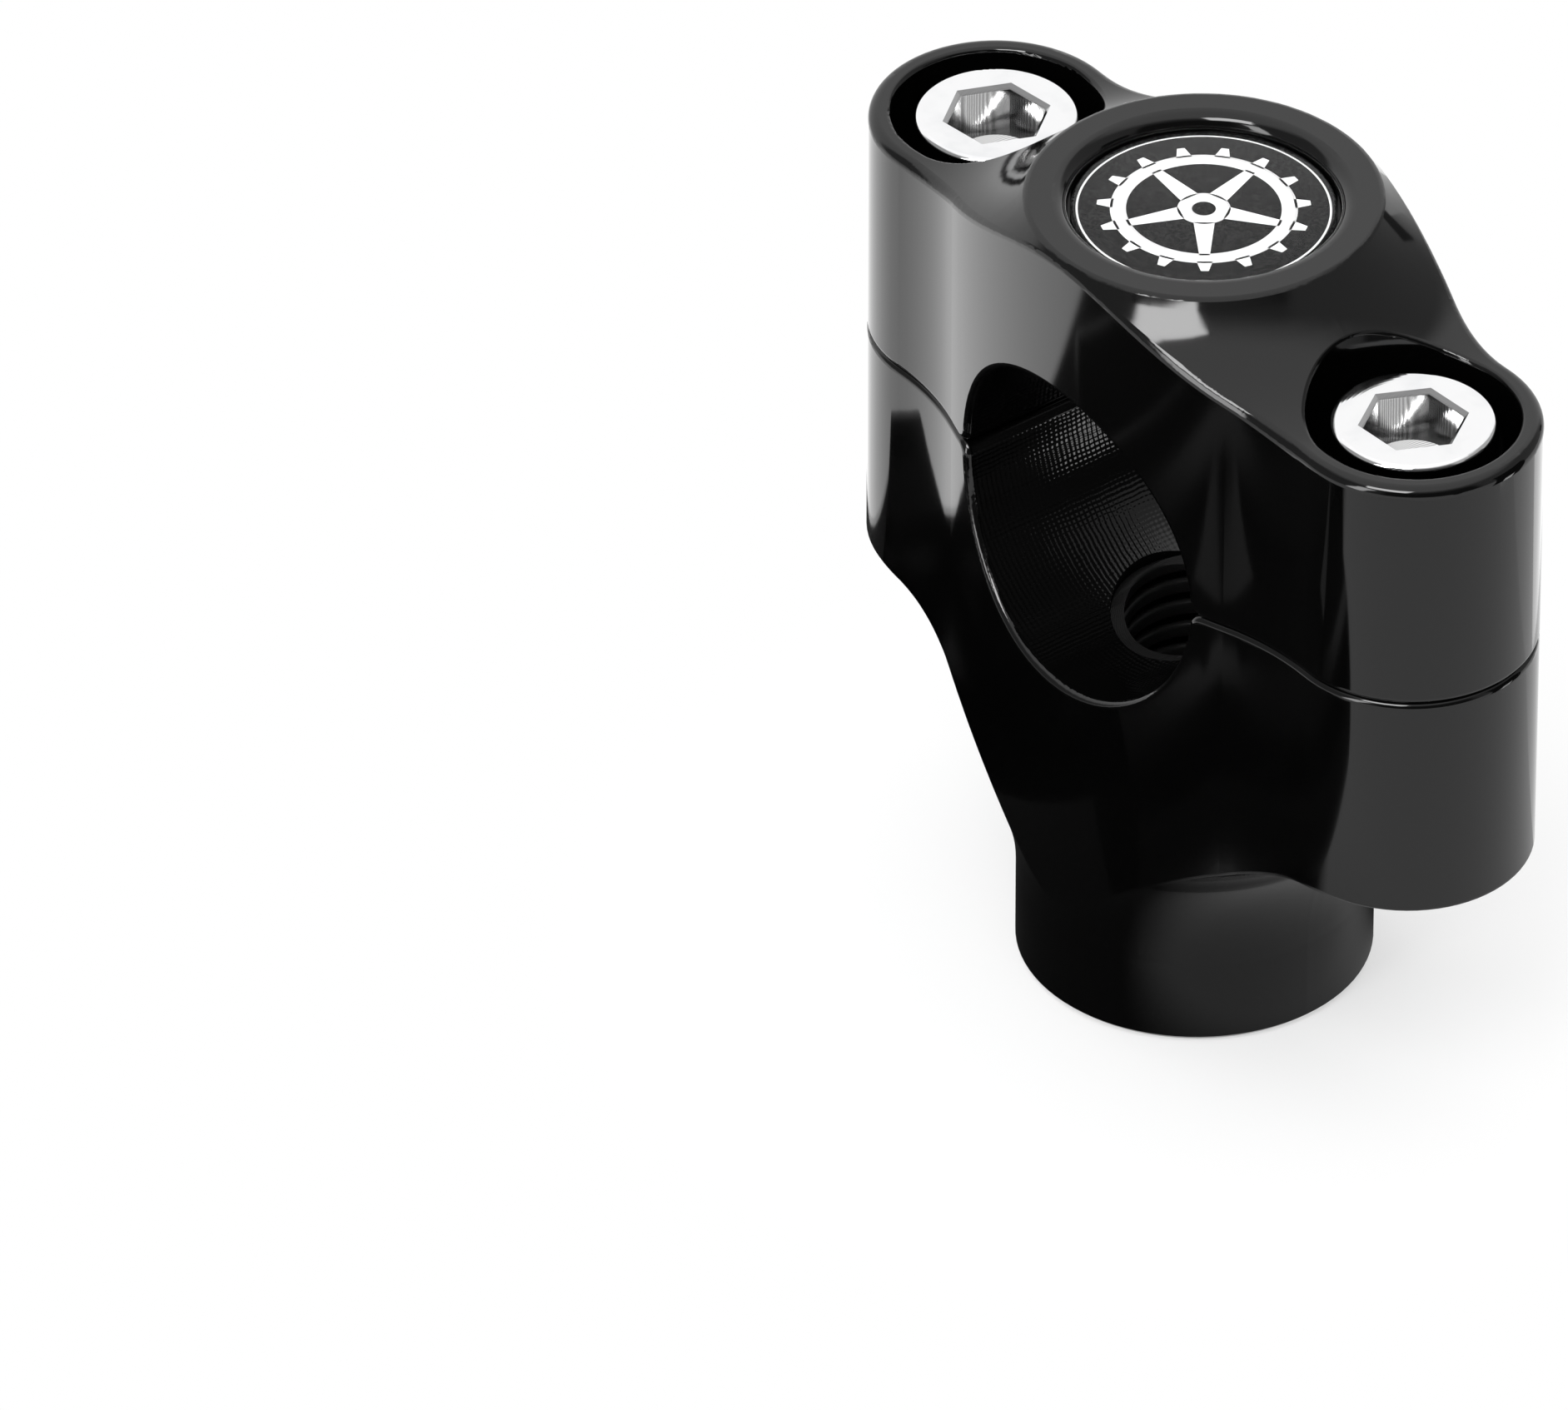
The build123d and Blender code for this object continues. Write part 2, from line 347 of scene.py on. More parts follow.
@dataclass(frozen=True)
class GlossAnodising:
    """Polished aluminium under gloss black, cross-hatched where a tool bored it."""

    name: str
    bar_radius: float
    bar_height: float
    stud_radius: float
    slack: float = 0.03 * MM
    black: float = 0.0012
    deep_black: float = 0.0006
    polish: float = 0.07
    bored_polish: float = 0.09
    dust_grey: float = 0.3
    dust_cover: float = 0.12
    dust_rough: float = 0.25
    boring_pitch: float = 0.42 * MM
    chatter_pitch: float = 0.36 * MM
    chatter_share: float = 1.3
    wander: float = 0.25 * MM
    wander_scale: float = 800.0
    hatch_depth: float = 0.0075 * MM

    def bored(self, board: Board, x: Socket, y: Socket, z: Socket) -> Socket:
        """A mask for the walls of the bar's bore and the stud's hole.

        Args:
            board: the material's board.
            x: the shaded point's X.
            y: its Y.
            z: its Z.

        Returns:
            1 on the walls, and 0 elsewhere.
        """
        rise = board.math("SUBTRACT", z, self.bar_height)
        in_bar = board.math("LESS_THAN", board.length(x, rise), self.bar_radius + self.slack)
        near_stud = board.math("LESS_THAN", board.length(x, y), self.stud_radius + self.slack)
        low = board.math("LESS_THAN", z, self.bar_height - self.bar_radius / 2)
        return board.math("MAXIMUM", in_bar, board.product(near_stud, low))

    def hatch(self, board: Board, x: Socket, y: Socket, z: Socket) -> Socket:
        """The tool's rings along the bar's bore, crossed by its chatter round it.

        Args:
            board: the material's board.
            x: the shaded point's X.
            y: its Y.
            z: its Z.

        Returns:
            The height of the marks.
        """
        rings = marks(board, y, self.boring_pitch, self.wander, self.wander_scale)
        rise = board.math("SUBTRACT", z, self.bar_height)
        around = board.product(board.math("ARCTAN2", x, rise), self.bar_radius)
        chatter = marks(board, around, self.chatter_pitch, self.wander, self.wander_scale)
        return board.math("ADD", rings, board.product(chatter, self.chatter_share))

    def material(self) -> bpy.types.Material:
        """Build the material.

        Returns:
            A material for the body and the cap.
        """
        material, board = new_material(self.name)
        x, y, z = board.spot()
        bored = self.bored(board, x, y, z)
        life = board.group(surface_life(), Cloud_Scale=55.0, Peel_Scale=700.0, Dust_Scale=170.0)
        dust = life.outputs["Dust"]
        smooth = cloudy(board, life, self.polish * 0.8, self.polish * 1.25)
        dusty = board.math("ADD", smooth, board.product(dust, self.dust_rough))
        polished = board.tint(life.outputs["Cloud"], grey(self.deep_black), grey(self.black))
        base = board.tint(bored, polished, grey(self.black))
        colour = board.tint(board.product(dust, self.dust_cover), base, grey(self.dust_grey))
        peel = board.bump(life.outputs["Peel"], 0.02)
        height = board.product(self.hatch(board, x, y, z), bored)
        board.principled(Base_Color=colour, Roughness=board.mix(bored, dusty, self.bored_polish), IOR=1.5,
                         Normal=board.bump(height, 1.0, self.hatch_depth, Normal=peel))
        return material


@dataclass(frozen=True)
class CutThread:
    """The anodised thread, satin where the tap cut it."""

    name: str
    black: float = 0.010
    deep_black: float = 0.005
    satin: float = 0.34
    mark_pitch: float = 0.16 * MM
    wander: float = 0.05 * MM

    def material(self) -> bpy.types.Material:
        """Build the material.

        Returns:
            A material for the thread.
        """
        material, board = new_material(self.name)
        x, y, z = board.spot()
        life = board.group(surface_life(), Cloud_Scale=240.0, Peel_Scale=1500.0, Dust_Scale=600.0)
        up_flank = board.math("ADD", board.length(x, y), z)
        height = marks(board, up_flank, self.mark_pitch, self.wander)
        base = board.tint(life.outputs["Cloud"], grey(self.deep_black), grey(self.black))
        rough = cloudy(board, life, self.satin * 0.8, self.satin * 1.3)
        board.principled(Base_Color=base, Roughness=rough, IOR=1.3, Normal=board.bump(height, 0.3))
        return material


@dataclass(frozen=True)
class Chrome:
    """Bright chromium plate with faint turning rings; its key socket's broached facets are tinted darker as
    painted shade.
    """

    name: str
    axis_x: float
    mouth_z: float
    polish: float = 0.05
    bright: Colour = (0.95, 0.95, 0.955, 1.0)
    stained: Colour = (0.86, 0.865, 0.875, 1.0)
    ring_pitch: float = 0.22 * MM
    ring_wander: float = 0.03 * MM
    ring_share: float = 0.4
    socket_radius: float = 3.72 * MM
    lead: float = 0.3 * MM
    facet_polish: float = 0.11
    socket_shade_light: float = 0.78
    socket_shade_dark: float = 0.42
    broach_pitch: float = 0.31 * MM
    broach_wander: float = 0.12 * MM
    broach_share: float = 2.0

    def material(self) -> bpy.types.Material:
        """Build the material.

        Returns:
            A material for the screw whose axis stands at axis_x.
        """
        material, board = new_material(self.name)
        x, y, z = board.spot()
        off = board.math("SUBTRACT", x, self.axis_x)
        radius = board.length(off, y)
        near_axis = board.math("LESS_THAN", radius, self.socket_radius)
        sunk = board.ramp(z, self.mouth_z - self.lead * 0.6, self.mouth_z - self.lead * 1.6)
        inside = board.product(near_axis, sunk)
        life = board.group(surface_life(), Cloud_Scale=240.0, Peel_Scale=1200.0, Dust_Scale=900.0)
        polished = board.ramp(life.outputs["Cloud"], 0.35, 0.65, self.polish * 0.7, self.polish * 1.6)
        rings = marks(board, radius, self.ring_pitch, self.ring_wander)
        around = board.product(board.math("ARCTAN2", y, off), radius)
        broached = marks(board, around, self.broach_pitch, self.broach_wander)
        plate = board.tint(board.ramp(life.outputs["Cloud"], 0.3, 0.6), self.stained, self.bright)
        # painted shade in the socket: its chrome tinted darker, streaked with the broach marks
        facets = board.tint(broached, grey(self.socket_shade_dark), grey(self.socket_shade_light))
        turning = board.math("ADD", board.product(rings, self.ring_share), life.outputs["Peel"])
        height = board.mix(inside, turning, board.product(broached, self.broach_share))
        board.principled(Base_Color=board.tint(inside, plate, facets), Metallic=1.0,
                         Roughness=board.mix(inside, polished, self.facet_polish),
                         Normal=board.bump(height, 0.06))
        return material


@dataclass(frozen=True)
class CharcoalPrint:
    """The fine-grained charcoal ground of the badge."""

    name: str
    dark: float = 0.002
    light: float = 0.024
    grain_scale: float = 4600.0

    def material(self) -> bpy.types.Material:
        """Build the material.

        Returns:
            A material for the disc. Its IOR is low because it lies under resin, not in air.
        """
        material, board = new_material(self.name)
        grain = board.ramp(board.noise(self.grain_scale, 2.0, Roughness=0.8), 0.42, 0.62)
        life = board.group(surface_life(), Cloud_Scale=180.0, Peel_Scale=2500.0, Dust_Scale=900.0)
        board.principled(Base_Color=board.tint(grain, grey(self.dark), grey(self.light)),
                         Roughness=cloudy(board, life, 0.42, 0.55), IOR=1.1)
        return material


@dataclass(frozen=True)
class WhiteInk:
    """The badge's opaque white print."""

    name: str
    brightness: float = 0.96
    faded: float = 0.95

    def material(self) -> bpy.types.Material:
        """Build the material.

        Returns:
            A material for the print. Its IOR is low because it lies under resin, not in air.
        """
        material, board = new_material(self.name)
        life = board.group(surface_life(), Cloud_Scale=300.0, Peel_Scale=2200.0, Dust_Scale=1500.0)
        base = board.tint(life.outputs["Cloud"], grey(self.brightness * self.faded), grey(self.brightness))
        board.principled(Base_Color=base, Roughness=0.45, IOR=1.1)
        return material


@dataclass(frozen=True)
class ClearResin:
    """The badge's clear domed resin."""

    name: str
    polish: float = 0.03

    def material(self) -> bpy.types.Material:
        """Build the material.

        Returns:
            A material that lets light straight in to the print, and has its gloss from a coat.
        """
        material, board = new_material(self.name)
        life = board.group(surface_life(), Cloud_Scale=90.0, Peel_Scale=350.0, Dust_Scale=900.0)
        board.principled(Base_Color=grey(0.98), IOR=1.03, Transmission_Weight=1.0, Coat_Weight=1.0,
                         Coat_Roughness=0.03, Coat_IOR=1.27,
                         Roughness=cloudy(board, life, self.polish * 0.7, self.polish * 1.4),
                         Normal=board.bump(life.outputs["Peel"], 0.03))
        return material


@dataclass(frozen=True)
class FoamTape:
    """The grey foam of the adhesive pad."""

    name: str
    dark: float = 0.06
    light: float = 0.14
    cell_scale: float = 4200.0
    cell_depth: float = 0.05 * MM

    def material(self) -> bpy.types.Material:
        """Build the material.

        Returns:
            A material for the pad.
        """
        material, board = new_material(self.name)
        cells = board.add("ShaderNodeTexVoronoi", Vector=board.place(), Scale=self.cell_scale)
        depth = cells.outputs["Distance"]
        board.principled(Base_Color=board.tint(depth, grey(self.dark), grey(self.light)), Roughness=0.9,
                         Normal=board.bump(depth, 0.5, self.cell_depth))
        return material


@dataclass(frozen=True)
class DarkGloss:
    """Plain black gloss, for a flag that darkens what the part mirrors."""

    name: str

    def material(self) -> bpy.types.Material:
        """Build the material.

        Returns:
            A material for the flag.
        """
        material, board = new_material(self.name)
        board.principled(Base_Color=grey(0.002), Roughness=0.24, IOR=1.3)
        return material


class Spread(Enum):
    """How a studio card's light falls off."""

    EVEN = "even"
    HOT = "hot"
    SHADED = "shaded"


@dataclass(frozen=True)
class Glow:
    """The light of a studio card, as a brightness where 1 is white.

    A hot card fades out past its core. A shaded one lies on the table with painted shadow: it is
    darker near the part and left of it.
    """

    name: str
    brightness: float
    spread: Spread = Spread.EVEN
    core: float = 0.55
    shade_ends: tuple[float, float] = (20 * MM, 62 * MM)
    shade_least: float = 0.5
    left_shadow_ends: tuple[float, float] = (6 * MM, 15 * MM)
    left_shadow_least: float = 0.05

    def strength(self, board: Board, width: float, height: float) -> Socket | float:
        """The brightness over the card.

        Args:
            board: the material's board.
            width: the card's width in metres.
            height: the card's height in metres.

        Returns:
            A number for an even card, and a socket for the others.
        """
        if self.spread is Spread.EVEN:
            return self.brightness
        x, y, _ = board.spot()
        if self.spread is Spread.HOT:
            first, second = (board.ramp(board.math("ABSOLUTE", off), self.core * half, half, 1.0, 0.0)
                             for off, half in ((x, width / 2), (y, height / 2)))
        else:
            # painted shadow: the card is dimmed near the part and left of it
            first = board.ramp(board.length(x, y), *self.shade_ends, self.shade_least, 1.0)
            second = board.ramp(x, *self.left_shadow_ends, self.left_shadow_least, 1.0)
        return board.product(board.product(first, second), self.brightness)

    def material(self, width: float = 1.0, height: float = 1.0) -> bpy.types.Material:
        """Build the material.

        Args:
            width: the card's width in metres.
            height: the card's height in metres.

        Returns:
            A light-giving material for a card of that size.
        """
        material, board = new_material(self.name)
        strength = self.strength(board, width, height)
        board.surface(board.add("ShaderNodeEmission", Color=grey(1.0), Strength=strength))
        return material


@dataclass(frozen=True)
class TablePaper:
    """The pale table, which takes the shadow near the part and is plain white further off."""

    name: str = "table_paper"
    colour: float = 0.86
    speckled: float = 0.99
    tooth_scale: float = 900.0
    white_at: float = 50 * MM
    least_white: float = 0.5

    def material(self) -> bpy.types.Material:
        """Build the material.

        Returns:
            A material for the table.
        """
        material, board = new_material(self.name)
        x, y, _ = board.spot()
        tooth = board.noise(self.tooth_scale, 3.0)
        paper = board.tint(tooth, grey(self.colour * self.speckled), grey(self.colour))
        matt = board.add("ShaderNodeBsdfDiffuse", Color=paper)
        white = board.add("ShaderNodeEmission", Color=grey(1.0), Strength=1.0)
        path = board.add("ShaderNodeLightPath").outputs
        mirrored = board.math("MAXIMUM", path["Is Glossy Ray"], path["Is Transmission Ray"])
        seen = board.math("MAXIMUM", path["Is Camera Ray"], mirrored)
        clear = board.ramp(board.length(x, y), 0.0, self.white_at, self.least_white, 1.0)
        share = board.product(clear, seen)
        board.surface(board.add("ShaderNodeMixShader", in0=share, in1=matt.outputs[0], in2=white.outputs[0]))
        return material


def mesh_object(name: str, vertices: list, faces: list) -> Piece:
    """Make an object and link it to the scene.

    Args:
        name: the name of the object and of its mesh.
        vertices: its corners.
        faces: the corners of each face, by their places in the list.

    Returns:
        The object.
    """
    mesh = bpy.data.meshes.new(name)
    mesh.from_pydata([tuple(corner) for corner in vertices], [], faces)
    mesh.update()
    made = bpy.data.objects.new(name, mesh)
    bpy.context.scene.collection.objects.link(made)
    return made


def dress(piece: Piece, material: bpy.types.Material) -> None:
    """Give a piece one material all over."""
    piece.data.materials.clear()
    piece.data.materials.append(material)


def shade_smooth(piece: Piece, angle: float) -> None:
    """Smooth a piece's faces where they meet at less than an angle in degrees."""
    piece.data.shade_smooth()
    piece.data.set_sharp_from_angle(angle=math.radians(angle))


def mirror_only(piece: Piece) -> None:
    """Let only the part's gloss see a piece of the studio.

    Args:
        piece: the card or the flag.
    """
    piece.visible_camera = False
    piece.visible_shadow = False
    piece.visible_diffuse = False
    piece.visible_transmission = False


class Recipe:
    """A Geometry Nodes tree with named inputs, which turns into a plain mesh."""

    def __init__(self, name: str) -> None:
        """Start an empty tree.

        Args:
            name: the tree's name.
        """
        self.tree = bpy.data.node_groups.new(name, "GeometryNodeTree")
        self.tree.interface.new_socket("Geometry", in_out="OUTPUT", socket_type="NodeSocketGeometry")
        self.board = Board(self.tree)
        self.given = self.board.add("NodeGroupInput")
        self.sockets: dict[str, str] = {}

    def number(self, label: str, kind: str = FLOAT) -> Socket:
        """Add a named input.

        Args:
            label: the input's name.
            kind: its socket type.

        Returns:
            Its socket inside the tree.
        """
        made = self.tree.interface.new_socket(label, in_out="INPUT", socket_type=kind)
        self.sockets[label] = made.identifier
        return self.given.outputs[label]

    def offset(self, axis: str, value: Socket) -> Socket:
        """A vector along one axis."""
        return self.board.add("ShaderNodeCombineXYZ", **{axis: value}).outputs[0]

    def finish(self, geometry: Socket, material: bpy.types.Material) -> None:
        """End the tree in real geometry.

        Args:
            geometry: what the tree has made.
            material: what it is made of.
        """
        real = self.board.add("GeometryNodeRealizeInstances", in0=geometry)
        painted = self.board.add("GeometryNodeSetMaterial", Geometry=real.outputs[0], Material=material)
        self.board.add("NodeGroupOutput", in0=painted.outputs[0])

    def make(self, name: str, values: dict[str, Number]) -> Piece:
        """Run the tree and keep its result as a plain mesh.

        Args:
            name: the name of the piece.
            values: a value for each named input.

        Returns:
            The piece, with no modifier left on it.
        """
        piece = mesh_object(name, [], [])
        modifier = piece.modifiers.new("recipe", "NODES")
        modifier.node_group = self.tree
        for label, value in values.items():
            modifier[self.sockets[label]] = value
        evaluated = piece.evaluated_get(bpy.context.evaluated_depsgraph_get())
        plain = bpy.data.meshes.new_from_object(evaluated)
        piece.modifiers.clear()
        piece.data = plain
        plain.name = name
        return piece


@dataclass
class StudThread:
    """The thread in the foot's hole, a ridge that climbs the wall and is cut off by the bar's bore."""

    finish: CutThread
    bar_radius: float
    bar_height: float
    wall_radius: float
    entry: float = 0.9 * MM
    pitch: float = 1.954 * MM
    height: float = 1.0 * MM
    root_width: float = 1.72 * MM
    crest_width: float = 0.36 * MM
    crest_round: float = 0.3 * MM
    sunk: float = 0.06 * MM
    below_bore: float = 0.06 * MM
    phase: float = 180.0
    steps_per_turn: int = 72
    round_steps: int = 5
    cutter_sides: int = 256
    smooth_angle: float = 50.0

    def recipe(self, material: bpy.types.Material) -> Recipe:
        """The ridge as a profile drawn along a helix, less what lies in the bar's bore.

        Args:
            material: what the ridge is made of.

        Returns:
            A recipe with inputs for the wall, the pitch, the turns and the profile.
        """
        made = Recipe("thread_ridge")
        wall = made.number("Wall Radius")
        pitch = made.number("Pitch")
        turns = made.number("Turns")
        height = made.number("Ridge Height")
        root = made.number("Root Width")
        crest = made.number("Crest Width")
        start = made.number("Start Height")
        bar_radius = made.number("Bar Radius")
        bar_height = made.number("Bar Height")
        board = made.board
        middle = board.math("SUBTRACT", wall, board.product(height, 0.5))
        helix = board.add("GeometryNodeCurveSpiral", Resolution=self.steps_per_turn, Rotations=turns,
                          Start_Radius=middle, End_Radius=middle, Height=board.product(pitch, turns))
        lifted = board.add("GeometryNodeTransform", Geometry=helix.outputs[0],
                           Translation=made.offset("Z", start),
                           Rotation=(0.0, 0.0, math.radians(self.phase)))
        upright = board.add("GeometryNodeSetCurveNormal", {"mode": "Z_UP"}, Curve=lifted.outputs[0])
        profile = board.add("GeometryNodeCurvePrimitiveQuadrilateral", {"mode": "TRAPEZOID"}, Height=height,
                            Bottom_Width=root, Top_Width=crest, Offset=0.0)
        eased = board.add("GeometryNodeFilletCurve", {"mode": "POLY"}, Curve=profile.outputs[0],
                          Count=self.round_steps, Radius=made.number("Crest Round"), Limit_Radius=True)
        turned = board.add("GeometryNodeTransform", Geometry=eased.outputs[0],
                           Rotation=(0.0, 0.0, math.pi / 2))
        ridge = board.add("GeometryNodeCurveToMesh", Curve=upright.outputs[0],
                          Profile_Curve=turned.outputs[0], Fill_Caps=True)
        bar = board.add("GeometryNodeMeshCylinder", Vertices=self.cutter_sides, Radius=bar_radius,
                        Depth=board.product(bar_radius, 4.0))
        laid = board.add("GeometryNodeTransform", Geometry=bar.outputs[0],
                         Translation=made.offset("Z", bar_height), Rotation=(math.pi / 2, 0.0, 0.0))
        cut = board.add("GeometryNodeMeshBoolean", {"operation": "DIFFERENCE", "solver": "EXACT"},
                        in0=ridge.outputs[0], in1=laid.outputs[0])
        made.finish(cut.outputs[0], material)
        return made

    def build(self) -> Piece:
        """Make the thread.

        Returns:
            The ridge as a plain mesh.
        """
        start = self.entry + self.root_width / 2
        top = self.bar_height - math.sqrt(self.bar_radius ** 2 - self.wall_radius ** 2)
        turns = (top + self.root_width - start) / self.pitch
        piece = self.recipe(self.finish.material()).make("stud_thread", {
            "Wall Radius": self.wall_radius + self.sunk, "Pitch": self.pitch, "Turns": turns,
            "Ridge Height": self.height + self.sunk, "Root Width": self.root_width,
            "Crest Width": self.crest_width, "Crest Round": self.crest_round, "Start Height": start,
            "Bar Radius": self.bar_radius + self.below_bore, "Bar Height": self.bar_height})
        shade_smooth(piece, self.smooth_angle)
        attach(piece, BODY)
        return piece


@dataclass
class BadgePrint:
    """The white print on the badge: a thin border and a plain sprocket wheel."""

    ink: WhiteInk
    centre_z: float
    border_radius: float = 9.03 * MM
    border_width: float = 0.16 * MM
    thickness: float = 0.012 * MM
    wheel_radius: float = 6.1 * MM
    wheel_width: float = 1.15 * MM
    tooth_count: int = 15
    tooth_height: float = 0.95 * MM
    tooth_root: float = 1.15 * MM
    tooth_tip: float = 0.55 * MM
    spoke_count: int = 5
    spoke_root: float = 1.5 * MM
    spoke_tip: float = 0.75 * MM
    hub_radius: float = 1.9 * MM
    hub_hole: float = 0.85 * MM
    lap: float = 0.2 * MM
    turn: float = -38.0
    ring_steps: int = 160

    def ring(self, made: Recipe, label: str, depth: Socket) -> Socket:
        """A flat ring.

        Args:
            made: the recipe that gets it, with inputs for its middle radius and its width.
            label: the first word of those inputs.
            depth: how thick it is.

        Returns:
            The ring's socket.
        """
        board = made.board
        circle = board.add("GeometryNodeCurvePrimitiveCircle", Resolution=self.ring_steps,
                           Radius=made.number(label + " Radius"))
        strip = board.add("GeometryNodeCurvePrimitiveQuadrilateral",
                          Width=made.number(label + " Width"), Height=depth)
        return board.add("GeometryNodeCurveToMesh", Curve=circle.outputs[0],
                         Profile_Curve=strip.outputs[0]).outputs[0]

    def wedges(self, made: Recipe, label: str, depth: Socket) -> Socket:
        """Flat wedges that stand outwards from a circle, evenly set.

        Args:
            made: the recipe that gets them, with inputs for their count, sizes and circle.
            label: the first word of those inputs.
            depth: how thick the print is.

        Returns:
            The wedges' socket.
        """
        board = made.board
        count = made.number(label + " Count", "NodeSocketInt")
        length = made.number(label + " Length")
        shape = board.add("GeometryNodeCurvePrimitiveQuadrilateral", {"mode": "TRAPEZOID"}, Height=length,
                          Bottom_Width=made.number(label + " Root"),
                          Top_Width=made.number(label + " Tip"), Offset=0.0)
        shifted = board.add("GeometryNodeTransform", Geometry=shape.outputs[0],
                            Translation=made.offset("Y", board.product(length, 0.5)))
        face = board.add("GeometryNodeFillCurve", Curve=shifted.outputs[0])
        solid = board.add("GeometryNodeExtrudeMesh", {"mode": "FACES"}, Mesh=face.outputs[0],
                          Offset_Scale=board.product(depth, 0.5), Individual=False)
        circle = board.add("GeometryNodeMeshCircle", Vertices=count, Radius=made.number(label + " Radius"))
        outwards = board.add("GeometryNodeInputPosition")
        facing = board.add("FunctionNodeAlignRotationToVector", {"axis": "Y"}, Vector=outwards.outputs[0])
        spread = board.add("GeometryNodeInstanceOnPoints", Points=circle.outputs[0],
                           Instance=solid.outputs[0], Rotation=facing.outputs[0])
        return spread.outputs[0]

    def recipe(self, material: bpy.types.Material) -> Recipe:
        """Rings, and wedges set round them: the teeth and the spokes of the wheel.

        Args:
            material: the ink.

        Returns:
            A recipe with inputs for the sizes and the counts.
        """
        made = Recipe("badge_print")
        depth = made.number("Thickness")
        level = made.number("Level")
        parts = [self.ring(made, label, depth) for label in ("Border", "Wheel", "Hub")]
        parts += [self.wedges(made, label, depth) for label in ("Tooth", "Spoke")]
        joined = made.board.add("GeometryNodeJoinGeometry")
        for part in parts:
            made.board.feed(joined.inputs[0], part)
        turned = made.board.add("GeometryNodeTransform", Geometry=joined.outputs[0],
                                Translation=made.offset("Z", level),
                                Rotation=(0.0, 0.0, math.radians(self.turn)))
        made.finish(turned.outputs[0], material)
        return made

    def build(self) -> Piece:
        """Make the print.

        Returns:
            The print as a plain mesh.
        """
        rim = self.wheel_radius - self.wheel_width / 2
        hub_width = self.hub_radius - self.hub_hole
        piece = self.recipe(self.ink.material()).make("badge_print", {
            "Thickness": self.thickness, "Level": self.centre_z,
            "Border Radius": self.border_radius, "Border Width": self.border_width,
            "Wheel Radius": self.wheel_radius, "Wheel Width": self.wheel_width,
            "Hub Radius": self.hub_hole + hub_width / 2, "Hub Width": hub_width,
            "Tooth Count": self.tooth_count, "Tooth Length": self.tooth_height + self.lap,
            "Tooth Root": self.tooth_root, "Tooth Tip": self.tooth_tip,
            "Tooth Radius": self.wheel_radius + self.wheel_width / 2 - self.lap,
            "Spoke Count": self.spoke_count, "Spoke Length": rim - self.hub_radius + 2 * self.lap,
            "Spoke Root": self.spoke_root, "Spoke Tip": self.spoke_tip,
            "Spoke Radius": self.hub_radius - self.lap})
        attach(piece, BODY)
        return piece


@dataclass
class ResinDome:
    """The clear dome, poured on the disc, with a soft shoulder where it meets the disc's edge."""

    resin: ClearResin
    low: Vector
    high: Vector
    edge_height: float = 0.3 * MM
    shoulder: float = 0.22 * MM
    sunk: float = 0.03 * MM
    around: int = 160
    rings: int = 26
    shoulder_steps: int = 6
    smooth_angle: float = 40.0

    def profile(self) -> Outline:
        """The dome's outline from its crown down to its edge, as radius and height.

        Returns:
            Points that follow a flat arc and then a rounded shoulder.
        """
        radius = (self.high.x - self.low.x) / 2
        rise = self.high.z - (self.low.z + self.edge_height)
        arc = (radius ** 2 + rise ** 2) / (2 * rise)
        inner = radius - self.shoulder
        points = []
        for step in range(1, self.rings + 1):
            out = inner * step / self.rings
            points.append((out, self.high.z - arc + math.sqrt(arc ** 2 - out ** 2)))
        corner_z = points[-1][1]
        for step in range(1, self.shoulder_steps + 1):
            turn = math.pi / 2 * step / self.shoulder_steps
            points.append((inner + self.shoulder * math.sin(turn),
                           corner_z - self.shoulder * (1 - math.cos(turn))))
        points.append((radius, self.low.z - self.sunk))
        return points

    def build(self) -> Piece:
        """Make the dome.

        Returns:
            A closed mesh that stands for the CAD dome.
        """
        outline = self.profile()
        vertices = [(0.0, 0.0, self.high.z)]
        for radius, z in outline:
            for step in range(self.around):
                turn = FULL_TURN * step / self.around
                vertices.append((radius * math.cos(turn), radius * math.sin(turn), z))
        faces = [(0, 1 + step, 1 + (step + 1) % self.around) for step in range(self.around)]
        for row in range(len(outline) - 1):
            first = 1 + row * self.around
            second = first + self.around
            for step in range(self.around):
                after = (step + 1) % self.around
                faces.append((first + step, second + step, second + after, first + after))
        last = 1 + (len(outline) - 1) * self.around
        faces.append(tuple(last + step for step in reversed(range(self.around))))
        piece = mesh_object("resin_dome", vertices, faces)
        dress(piece, self.resin.material())
        shade_smooth(piece, self.smooth_angle)
        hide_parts("badge_dome")
        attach(piece, BODY)
        return piece


@dataclass
class StudioCard:
    """A flat card or softbox that shows in the part's gloss and stays out of the picture.

    Its azimuth, elevation, width, height and lean are in degrees, as seen from the part.
    """

    name: str
    glow: Glow
    azimuth: float
    elevation: float
    width: float
    height: float
    lean: float = 0.0
    distance: float = 0.9
    lights: bool = True
    mirrored: bool = True
    aim: Vector = field(default_factory=lambda: Vector((0.0, 0.0, 40 * MM)))

    def build(self) -> Piece:
        """Set the card up, facing the part.

        Returns:
            The card, out of the camera's sight.
        """
        half_width = self.distance * math.tan(math.radians(self.width / 2))
        half_height = self.distance * math.tan(math.radians(self.height / 2))
        corners = [(-half_width, -half_height, 0), (half_width, -half_height, 0),
                   (half_width, half_height, 0), (-half_width, half_height, 0)]
        card = mesh_object(self.name, corners, [(0, 1, 2, 3)])
        dress(card, self.glow.material(2 * half_width, 2 * half_height))
        towards = heading(self.azimuth, self.elevation)
        facing = towards.to_track_quat("Z", "Y").to_matrix().to_4x4()
        card.matrix_world = (Matrix.Translation(self.aim + towards * self.distance) @ facing
                             @ Matrix.Rotation(math.radians(self.lean), 4, "Z"))
        card.visible_camera = False
        card.visible_shadow = False
        card.visible_diffuse = self.lights
        card.visible_glossy = self.mirrored
        return card


